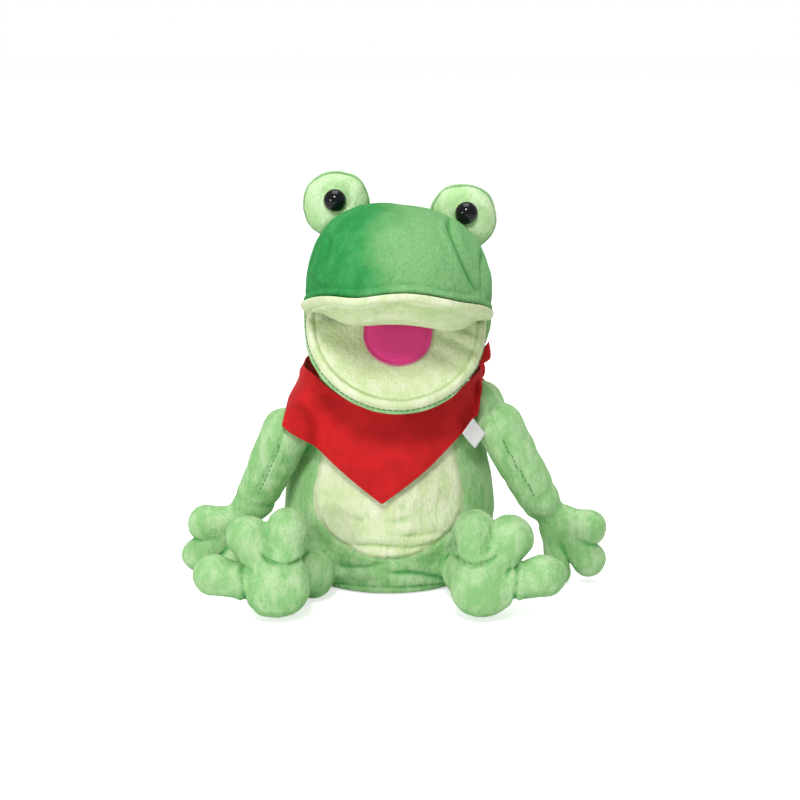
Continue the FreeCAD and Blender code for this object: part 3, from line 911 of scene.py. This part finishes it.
def jaw_height(q, edge):
    """Height of the mouth's floor over the jaw plane: rolled rim, sewn line, shallow bowl and folds."""
    d = gap_to(edge, q)
    z = -15 * MM + roll(d, 3.5 * MM) * 2 - 1.4 * MM * ramp(d, 3.5, 3.5)
    z -= 0.9 * MM * ridge(d - 6.2 * MM, 1.2 * MM) + 2.6 * MM * ramp(d, 9, 30)
    for a, b, width, depth in MOUTH_FOLDS:
        z += crease(to_segment(q, a, b) / MM, width, depth) * MM
    flat = np.stack([q[:, 0], q[:, 1], np.zeros(len(q))], 1)
    return z + lumps(flat, (0.7, 14, 41)) * ramp(d, 0, 10)


def jaw_lining():
    edge = jaw_edge()
    q, faces = patch(edge, JAW_CENTRE, 64)
    p = out_of(JAW, np.column_stack([q, jaw_height(q, edge)]))
    made = piece("mouth_floor", *thicken(p, faces, 2.0 * MM), BELLY_PLUSH)
    with_jaw(made)
    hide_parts("jaw_lining")
    front = edge[edge[:, 1] < -12 * MM]
    front = front[np.argsort(np.arctan2(front[:, 0], front[:, 1] + 36 * MM) % (2 * math.pi))]
    seam_line = out_of(JAW, np.column_stack([front * 1.01, np.full(len(front), MOUTH_EDGE)]))
    dashes = stitches("jaw_rim_stitches", seam_line, made, lift=0.3 * MM)
    with_jaw(dashes)


TONGUE_HALF, TONGUE_STRAIGHT, TONGUE_REAR, TONGUE_SHIFT = 24 * MM, 18 * MM, -8 * MM, 3.5 * MM


def tongue():
    bend = TONGUE_REAR - TONGUE_STRAIGHT
    middle = np.array([TONGUE_SHIFT, bend])

    def inside(q):
        round_end = norm(q - middle) < TONGUE_HALF
        beside = np.abs(q[:, 0] - TONGUE_SHIFT) < TONGUE_HALF
        return round_end & (q[:, 1] <= bend) | beside & (q[:, 1] > bend) & (q[:, 1] < TONGUE_REAR)

    edge = outline_of(inside, middle, 60 * MM)
    q, faces = patch(edge, middle, 36)
    d = gap_to(edge, q)
    crowned = 1.7 * MM + 1.4 * MM * ramp(d, 0, 9) - 0.5 * MM * ridge(d - 2.4 * MM, MM)
    z = jaw_height(q, jaw_edge()) + crowned
    p = out_of(JAW, np.column_stack([q, z]))
    made = piece("tongue_felt", *thicken(p, faces, 1.5 * MM), TONGUE_FELT)
    with_jaw(made)
    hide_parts("tongue")
    rim = np.vstack([p[:len(edge)], p[:1]])
    dashes = stitches("tongue_stitches", rim, made, PINK_THREAD, 3.0 * MM, 0.15 * MM, 0.45 * MM, 0.0)
    with_jaw(dashes)


BUMP_R, BUMP_HALF, EYE_RISE, EYE_HEIGHT, EYE_R = 24 * MM, 14 * MM, 5 * MM, 6.5 * MM, 8 * MM
EYE_SHIFT = 3 * MM  # the eyes sit this far to the puppet's right of the leaning head's middle


def eye_bump(side):
    """A flat round pillow, pale in front and green behind, with a glossy safety eye on it."""
    low, high = corners(f"{side}_eye")
    eye = np.array([(low[0] + high[0]) / 2, low[1] + EYE_HEIGHT, (low[2] + high[2]) / 2]) - EYE_SHIFT * X
    centre = eye - EYE_RISE * HEAD[2] + BUMP_HALF * Y - SIDES[side] * 1.2 * MM * X
    for half, sign, radius, material, slot in (
        ("front", -1, BUMP_R - 1.2 * MM, BUMP_PLUSH, "belly_green"),
        ("back", 1, BUMP_R, BODY_PLUSH, "body_green"),
    ):
        def solid(p):
            q = into(HEAD, p, centre)
            f = oval(q, 0, np.array([radius, BUMP_HALF, radius]), 2.15)
            return blunt_max(f, -sign * q[:, 1], 1.5 * MM)

        def relief(p):
            q = into(HEAD, p, centre)
            from_eye = norm(p[:, [0, 2]] - eye[[0, 2]])
            dent = -1.6 * MM * ridge(from_eye - 9 * MM, 3.5 * MM) * (sign < 0)
            return dent + lumps(p, (0.9, 13, 51), (0.35, 5, 52))

        reach = mm(28, 18, 28)
        points, faces = grow(solid, centre - reach, centre + reach, 1.2 * MM, relief)
        made = piece(f"{side}_eye_bump_{half}_plush", points, faces, material, "head")
        inside = [f"{side}_eye_bump_stuffing", "eye_washers"] if sign < 0 else []
        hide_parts(f"{side}_eye_bump_{half}", *inside)
        if sign < 0:
            angle = np.linspace(0, 2 * math.pi, 120)
            ring = np.stack([radius * np.cos(angle), np.full(120, -1.2 * MM), radius * np.sin(angle)], 1)
            dashes = stitches(f"{side}_eye_bump_stitches", out_of(HEAD, ring, centre), made, length=3.4 * MM,
                              gap=0.9 * MM, radius=0.38 * MM)
            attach(dashes, "head")

    ball_r = (EYE_R**2 + EYE_HEIGHT**2) / (2 * EYE_HEIGHT)
    rise = np.linspace(0, EYE_HEIGHT - 0.6 * MM, 26)
    dome = [(math.sqrt(max(ball_r**2 - (ball_r - t) ** 2, 0)), EYE_HEIGHT - t) for t in rise]
    rim = [(EYE_R, 0.3 * MM), (EYE_R, -0.8 * MM), (EYE_R - 1 * MM, -1.2 * MM), (0, -1.2 * MM)]
    forward = np.stack([HEAD[0], HEAD[2], -Y])
    made = piece(f"{side}_eye_dome", *lathe(dome + rim, eye, forward), EYE_GLOSS, "head")
    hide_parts(f"{side}_eye")


# ---------------------------------------------------------------- limbs
FINGERS = [((-6, -4), (-1, -37), 9.5), ((7, -9), (22, -27), 12.5), ((4, 1), (21, -2), 13.5)]
TOES = [((-5, 12), (-5.5, 40), 15), ((9, 14), (21, 35), 16), ((18, 1), (45, 8), 15.5)]
HAND_TURN = {"left": 0.0, "right": -12.0}
FOOT_LEAN = 14.0


def pad_frame(side, place):
    """Rows: outward, through and up, of a hand or a foot."""
    sign = SIDES[side]
    if place == "hand":
        t = math.radians(HAND_TURN[side])
        c, s = math.cos(t), math.sin(t)
        return np.array([[sign * c, 0, -s], [0, 1, 0], [sign * s, 0, c]])
    c, s = math.cos(math.radians(FOOT_LEAN)), math.sin(math.radians(FOOT_LEAN))
    return np.array([[sign, 0, 0], [0, c, -s], [0, s, c]])


def pad(q, radius, half, lobes, k, neck):
    """A flat stuffed pad with its fingers or toes, in its own axes."""
    f = oval(q, 0, mm(radius, half, radius), 2.2)
    for (x1, z1), (x2, z2), r in lobes:
        a, b = mm(x1, 0, z1), mm(x2, 0, z2)
        f = blunt_min(f, limb(q, a, b, (r - neck) * MM, r * MM), k)
    return f


def toe_creases(q):
    """Sewn arcs that set the toes off from the pad."""
    flat = q[:, [0, 2]]
    inner_toe = np.abs(norm(flat - mm(-5, 36)) - 20 * MM) / MM
    side = fade(flat[:, 1], 30, 10) * fade(flat[:, 0], 14, 6)
    outer = to_segment(flat, (23, -12), (25, 14)) / MM
    return (crease(inner_toe, 2.0, 2.6) * side + crease(outer, 1.8, 2.2)) * MM


FLOOR_GAP = 0.3 * MM


def limb_skin(name, places, below, above, solid, relief):
    """The plush of one limb, grown round its places and flat where it rests."""
    low, high = np.min(places, 0) - below, np.max(places, 0) + above
    points, faces = grow(solid, low, high, 1.5 * MM, relief)
    points[:, 2] = points[:, 2].clip(FLOOR_GAP, None)
    return piece(name, points, faces, BODY_PLUSH)


ARM_NODES = ("arm_seam", "arm_cover", "arm_stuffing", "hand_front", "hand_back", "hand_stuffing")
LEG_NODES = ("leg_seam", "leg_cover", "leg_stuffing", "foot_sole", "foot_instep", "foot_stuffing")


def arm(side):
    sign = SIDES[side]
    shoulder, wrist = pivot(f"{side}_shoulder_raise"), pivot(f"{side}_wrist")
    palm = wrist + mm(15.5 * sign, 0, -19.8)
    frame_of_hand = pad_frame(side, "hand")
    length = np.linalg.norm(wrist - shoulder)
    along = (wrist - shoulder) / length

    def solid(p):
        f = limb(p, shoulder, wrist, 18 * MM, 15 * MM)
        return blunt_min(f, pad(into(frame_of_hand, p, palm), 16, 10, FINGERS, 2.5 * MM, 2.5), 6 * MM)

    def relief(p):
        reach = (p - shoulder) @ along
        rise = lumps(p, (0.9, 26, 61 + int(sign)), (0.4, 7, 62))
        across = (p - shoulder) @ np.cross(along, Y) + 2 * MM
        on_arm = smooth((length - 4 * MM - reach) / (8 * MM)) * (p[:, 1] < shoulder[1])
        rise += seam(across, 1.3 * MM, 1.5 * MM) * on_arm
        outer = smooth((sign * (p[:, 0] - shoulder[0]) + 0.03) / 0.04)
        for where, width, depth in ((0.55, 4.2, 0.4), (0.97, 3.6, 0.6)):
            bend = reach - where * length + 0.25 * across
            rise += crease(bend / MM, width, depth) * MM * outer
        return rise

    made = limb_skin(f"{side}_arm_and_hand", (shoulder, wrist, palm), (0.045, 0.03, 0.06),
                     (0.045, 0.03, 0.03), solid, relief)
    line = np.linspace(shoulder + 6 * MM * along, wrist - 6 * MM * along, 60)
    line = line - 18 * MM * Y - 2 * MM * np.cross(along, Y)
    dashes = stitches(f"{side}_arm_stitches", line, made)
    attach(dashes, f"{side}_arm")
    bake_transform(made)
    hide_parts(*(f"{side}_{n}" for n in ARM_NODES))


def leg(side):
    sign = SIDES[side]
    hip, ankle = pivot(f"{side}_hip_spread"), pivot(f"{side}_ankle")
    lean = pad_frame(side, "foot")
    heel = ankle - 22 * MM * lean[1]
    heel[0] += 2 * MM * sign
    heel[2] = 25.5 * MM

    def solid(p):
        f = limb(p, hip, ankle, 17 * MM, 15 * MM)
        return blunt_min(f, pad(into(lean, p, heel), 22.5, 14, TOES, 3 * MM, 5), 7 * MM)

    def relief(p):
        q = into(lean, p, heel)
        rise = lumps(p, (1.3, 24, 71 + int(sign)), (0.45, 7, 72))
        rise += toe_creases(q) * ramp(np.abs(q[:, 1]), 0, 4)
        return rise + seam(q[:, 1], 1.4 * MM, 1.0 * MM) * ramp(q[:, 0], -60, 10)

    right_reach, left_reach = (0.04, 0.075) if sign > 0 else (0.075, 0.04)
    made = limb_skin(f"{side}_leg_and_foot", (hip, ankle, heel), (right_reach, 0.03, 0.03),
                     (left_reach, 0.03, 0.06), solid, relief)
    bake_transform(made)
    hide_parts(*(f"{side}_{n}" for n in LEG_NODES))


# ---------------------------------------------------------------- bandana
BANDANA_RINGS = mm((66, 82, 71, 0), (105, 75.5, 67, 1), (136, 69, 62.5, 3), (166, 61, 59, 5))
BANDANA_TIP = mm(-4, 75)
BAND_LOW, BAND_HIGH = 137 * MM, 161 * MM
POINT_SLOPE = 0.86  # how fast the point's edges climb from its tip
WIDTH_AT, CHIN_FOLD_AT = 130 * MM, 145 * MM  # heights where the cloth's width is taken and where it folds
CLOTH_GAP, CLOTH_THICK = 2.6 * MM, 0.9 * MM


def bandana():
    """One cloth round the neck, with its point hanging on the chest."""
    columns, rows = 360, 64
    angle = np.linspace(-math.pi, math.pi, columns, endpoint=False)
    facing = np.abs(angle) < math.pi / 2
    x = np.interp(WIDTH_AT, BANDANA_RINGS[:, 0], BANDANA_RINGS[:, 1]) * np.sin(angle)
    low = BANDANA_TIP[1] + POINT_SLOPE * np.abs(x - BANDANA_TIP[0])
    narrowing = smooth((angle - 1.1) / 0.4) + smooth((-angle - 2.4) / 0.5)
    low = np.where(facing, np.minimum(low, BAND_LOW), BAND_LOW) + 11 * MM * narrowing
    high = BAND_HIGH - 14 * MM * np.cos(angle / 2) ** 8 + 1.2 * MM * np.sin(3 * angle + 1)
    high += 5 * MM * ridge(angle + 1.1, 0.4)
    share = np.linspace(0, 1, rows)[:, None]
    z = low + (high - low) * share
    theta = np.broadcast_to(angle, z.shape)
    a, b, cy = (np.interp(z, BANDANA_RINGS[:, 0], BANDANA_RINGS[:, i]) for i in (1, 2, 3))
    under_chin = ridge(z - CHIN_FOLD_AT - 12 * MM * np.abs(np.sin(theta)), 4 * MM) * (np.cos(theta) > 0)
    waves = 1.1 * MM * np.sin(7 * theta + 60 * z) * (0.4 + share)
    hem = ridge(share * (high - low) - 2.2 * MM, 1.0 * MM)
    flare = 6 * MM * ridge(theta + 1.25, 0.35) * fade(z, 152, 14)
    hugging = 3.5 * MM * ridge(theta + 0.95, 0.4) * smooth((share - 0.6) / 0.4)
    out = CLOTH_GAP + waves + flare + 1.5 * MM * under_chin - 0.5 * MM * hem - hugging
    p = np.stack([(a + out) * np.sin(theta), cy - (b + out) * np.cos(theta), z], -1).reshape(-1, 3)
    forward = smooth((np.cos(theta) + 0.05) / 0.3) * smooth((1.03 - share) / 0.3)
    p = laid_over(p, forward.reshape(-1, 1) * -Y, rows, columns)
    faces = [tuple(reversed(f)) for f in sheet_grid(rows, columns, closed=True)]
    made = piece("neckerchief", *thicken(p, faces, CLOTH_THICK), BANDANA_CLOTH, "body")
    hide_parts("bandana")
    hem_line = p.reshape(rows, columns, 3)[3, facing]
    dashes = stitches("neckerchief_hem_stitches", hem_line, made, RED_THREAD, 1.8 * MM, 1.2 * MM, 0.22 * MM)
    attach(dashes, "body")
    return made, dashes


def laid_over(p, way, rows, columns, clear=5.2 * MM):
    """Pushes the cloth over the arms' tops and the shoulders, and spreads each push to its neighbours."""
    def under(p):
        f = np.full(len(p), 1.0)
        for side in SIDES:
            shoulder, wrist = pivot(f"{side}_shoulder_raise"), pivot(f"{side}_wrist")
            f = np.minimum(f, limb(p, shoulder, wrist, 18.5 * MM, 15 * MM))
            for bar in shoulder_root(p, side):
                f = np.minimum(f, bar)
        return f

    push = np.zeros(len(p))
    for _ in range(60):
        depth = np.clip(clear - under(p + push[:, None] * way), 0, 2 * MM)
        push = push + 0.7 * depth
        grid = push.reshape(rows, columns)
        near = (np.roll(grid, 1, 1) + np.roll(grid, -1, 1)) / 2
        rows_near = (np.vstack([grid[:1], grid[:-1]]) + np.vstack([grid[1:], grid[-1:]])) / 2
        push = (0.3 * grid + 0.35 * near + 0.35 * rows_near).reshape(-1)
    return p + push[:, None] * way


def strip(centres, widths, side_axis, curl, rows_across=9):
    """A narrow cloth strip along a line of centres, curled across its width."""
    points = []
    for centre, width, axis in zip(centres, widths, side_axis):
        for t in np.linspace(-1, 1, rows_across):
            points.append(centre + axis * width * t / 2 + curl * (1 - t * t))
    return np.array(points), sheet_grid(len(centres), rows_across)


KNOT_AT = mm(66.5, 40, 149)
KNOT_ENDS = [  # name, root, tip, bow and width in mm, and the way its width lies
    ("upper", (-3, -12, 4), (9, -15, 25), (2, -2, 0), 15, (0.95, 0.3, -0.1)),
    ("lower", (0, 2, -5), (5, 9, -25), (3, 2, 0), 13, (0.45, 0.89, 0.0)),
]


def knot():
    """The knot behind the puppet's left shoulder, with two short ends."""

    def solid(p):
        q = p - KNOT_AT
        f = oval(q, 0, mm(7, 8, 9))
        loop = np.hypot(np.hypot(q[:, 1], q[:, 2]) - 5.5 * MM, q[:, 0] * 0.8) - 3.4 * MM
        return blunt_min(f, loop, 1.2 * MM)

    def relief(p):
        q = p - KNOT_AT
        return 0.56 * MM * np.sin(np.arctan2(q[:, 2], q[:, 1]) * 5 + q[:, 0] / (2.2 * MM))

    reach = np.full(3, 14 * MM)
    shell = grow(solid, KNOT_AT - reach, KNOT_AT + reach, 0.7 * MM, relief)
    made = piece("neckerchief_knot", *shell, BANDANA_CLOTH, "body")
    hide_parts("bandana_knot")
    ends = []
    for name, root, tip, bow, spread, across in KNOT_ENDS:
        t = np.linspace(0, 1, 26)[:, None]
        start = KNOT_AT + np.array(root) * MM
        line = start + t * (np.array(tip) - root) * MM + np.sin(t * math.pi) * np.array(bow) * MM
        width = spread * MM * (0.5 + 0.5 * smooth(t[:, 0] * 2.5)) * np.clip((1.01 - t[:, 0]) * 1.6, 0.03, 1)
        p, faces = strip(line, width, np.broadcast_to(np.array(across), (26, 3)), -1.2 * MM * Y)
        end = piece(f"neckerchief_{name}_end", *thicken(p, faces, CLOTH_THICK), BANDANA_CLOTH, "body")
        ends.append(end)
    return [made, *ends]


LABEL_AT = mm(57, -50, 128)
LABEL_HALF, LABEL_DROP = 7 * MM, 17.5 * MM


def label():
    """A plain white tape, folded once and sewn under the neckerchief's edge."""
    turn = Matrix.Rotation(math.radians(38), 3, "Z") @ Matrix.Rotation(math.radians(-42), 3, "Y")
    axes = np.array(turn).T
    t = np.linspace(0, 1, 18)
    s = np.linspace(-1, 1, 11)
    points = []
    for layer in (0, 1):
        for v in t if layer == 0 else t[::-1]:
            for u in s:
                bow = 0.9 * MM * math.sin(v * math.pi) + 0.25 * MM * u
                gap = 0.5 * MM * layer * (1 - v * v) ** 0.25
                points.append([LABEL_HALF * u, bow + gap - 1.2 * MM, -LABEL_DROP * v])
    p = np.array(points) @ axes + LABEL_AT
    shell = thicken(p, sheet_grid(2 * len(t), len(s)), 0.3 * MM)
    made = piece("blank_label", *shell, LABEL_TAPE, "body")
    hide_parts("side_label")
    return made


torso()
belly()
sleeve_lining()
neck()
crown()
lower_head()
palate()
jaw_lining()
tongue()
for side in SIDES:
    eye_bump(side)
    arm(side)
    leg(side)
cloth, cloth_hem = bandana()
knot_pieces = knot()
tag = label()


# ---------------------------------------------------------------- set, camera and light
def stage():
    """A white floor and a white surround, both brighter to the camera than to the puppet."""
    floor = bpy.data.meshes.new("floor")
    floor.from_pydata([(-6, -6, 0), (6, -6, 0), (6, 6, 0), (-6, 6, 0)], [], [(0, 1, 2, 3)])
    ground = placed("floor", floor)
    material, tree, shader = new_material("pale_floor")
    settle(shader, Base_Color=(0.86, 0.86, 0.86, 1), Roughness=0.9, Specular_IOR_Level=0.0,
           Emission_Color=(1, 1, 1, 1))
    seen = add(tree, "ShaderNodeLightPath").outputs["Is Camera Ray"]
    glow = add(tree, "ShaderNodeMath", {0: seen, 1: 0.62}, operation="MULTIPLY")
    tree.links.new(glow.outputs[0], shader.inputs["Emission Strength"])
    floor.materials.append(material)
    world = bpy.data.worlds.new("studio")
    bpy.context.scene.world = world
    world.use_nodes = True
    tree = world.node_tree
    background = tree.nodes["Background"]
    background.inputs["Color"].default_value = (1, 1, 1, 1)
    seen = add(tree, "ShaderNodeLightPath").outputs["Is Camera Ray"]
    strength = add(tree, "ShaderNodeMapRange", {"Value": seen, "To Min": 0.42, "To Max": 1.0})
    tree.links.new(strength.outputs["Result"], background.inputs["Strength"])


LAMPS_AIM = Vector((0, 0, 0.15))


def softbox(name, place, size, power):
    data = bpy.data.lights.new(name, "AREA")
    data.shape = "RECTANGLE"
    data.size, data.size_y = size
    data.energy = power
    lamp = placed(name, data)
    lamp.location = place
    lamp.rotation_euler = (LAMPS_AIM - Vector(place)).to_track_quat("-Z", "Y").to_euler()


def camera():
    elevation, distance, aim = math.radians(14.0), 1.417, Vector((0.00825, 0, 0.1347))
    data = bpy.data.cameras.new("camera")
    data.lens, data.sensor_width = 85, 36
    shot = placed("camera", data)
    shot.location = aim + distance * Vector((0, -math.cos(elevation), math.sin(elevation)))
    shot.rotation_euler = (math.radians(90) - elevation, 0, 0)
    bpy.context.scene.camera = shot


stage()
softbox("key", (-0.15, -1.6, 1.75), (0.45, 0.45), 25)
softbox("fill", (-1.4, -1.5, 0.5), (0.4, 0.5), 10)
softbox("top", (0, 0.1, 1.9), (1.2, 1.2), 16)
camera()
bpy.context.scene.view_settings.view_transform = "Standard"
